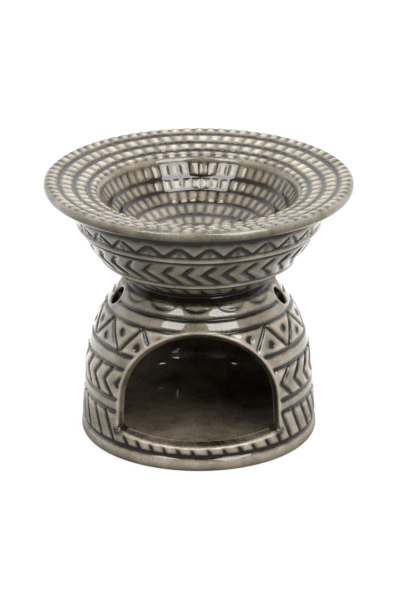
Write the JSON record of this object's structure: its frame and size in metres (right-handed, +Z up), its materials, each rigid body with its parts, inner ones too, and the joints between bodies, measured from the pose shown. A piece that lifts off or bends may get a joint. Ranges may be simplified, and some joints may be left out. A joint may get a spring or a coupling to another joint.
{
  "type": "ceramic oil burner",
  "caption": "Glazed stoneware oil burner: a pierced dome chamber with an arched window, under a flared dish with a wide rim and a round well.",
  "frame": {"origin": "middle of the foot, on the surface that the burner stands on", "axes": "+Z up along the turning axis, and the arched window faces -Y"},
  "size_m": [0.125, 0.125, 0.1084],
  "materials": {
    "glazed_stoneware": "glossy translucent taupe glaze that pools dark in the carving and breaks cream on edges"
  },
  "bodies": {
    "root": {"dome_base": "glazed_stoneware", "neck_ring": "glazed_stoneware", "oil_dish": "glazed_stoneware"}
  },
  "joints": []
}
